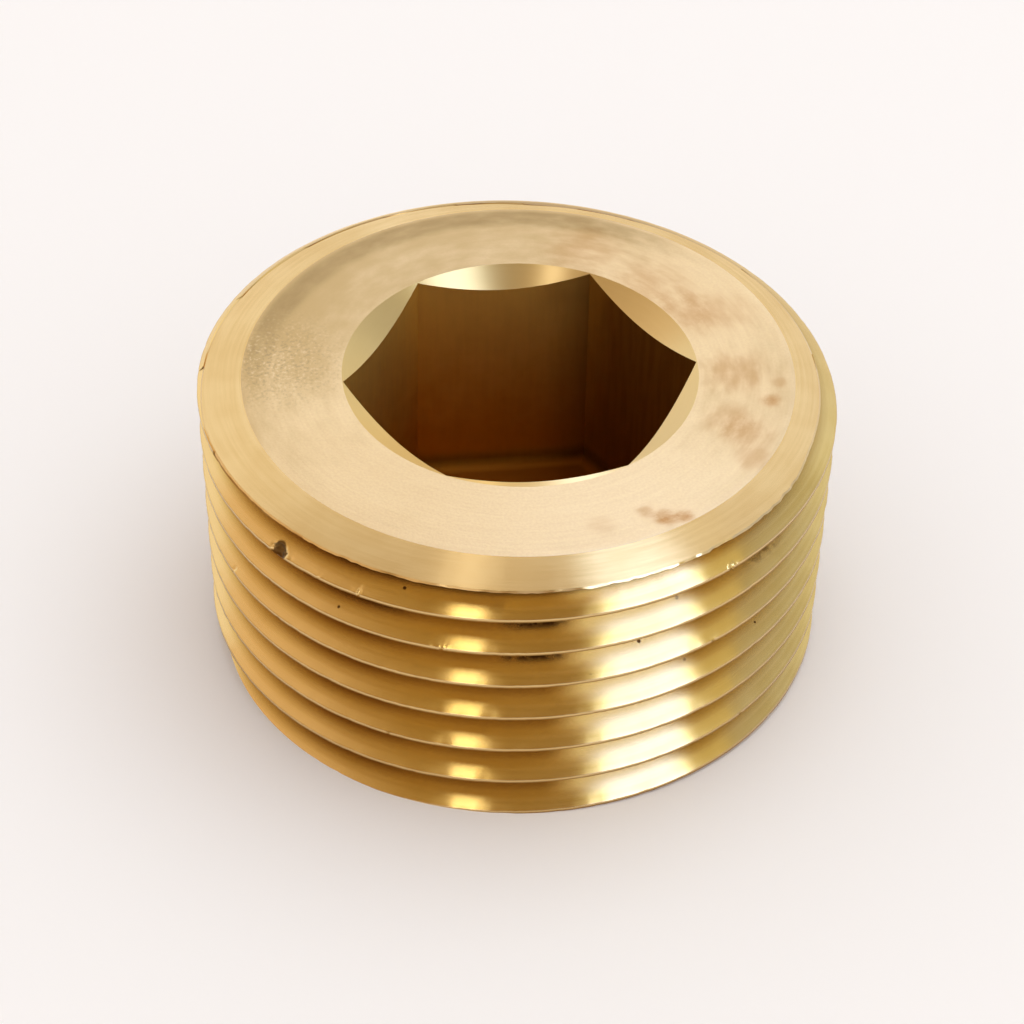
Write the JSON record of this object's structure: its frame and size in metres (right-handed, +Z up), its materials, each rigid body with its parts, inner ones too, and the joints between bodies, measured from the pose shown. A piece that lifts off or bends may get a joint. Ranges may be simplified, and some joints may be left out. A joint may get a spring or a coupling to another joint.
{
  "type": "countersunk pipe plug",
  "caption": "Short brass pipe plug with a right-hand tapered male thread, a shallow bevel round its flat face and a countersunk hexagon socket for a key.",
  "frame": {"origin": "middle of the flat small end, on the thread's axis", "axes": "+Z up along the thread's axis, from the small end to the face with the socket; the picture's front is the -Y side"},
  "size_m": [0.0266, 0.0266, 0.0128],
  "materials": {
    "plug_brass": "turned, bright on the thread, dull and slightly stained on the face"
  },
  "bodies": {
    "root": {"plug_body": "plug_brass"}
  },
  "joints": []
}
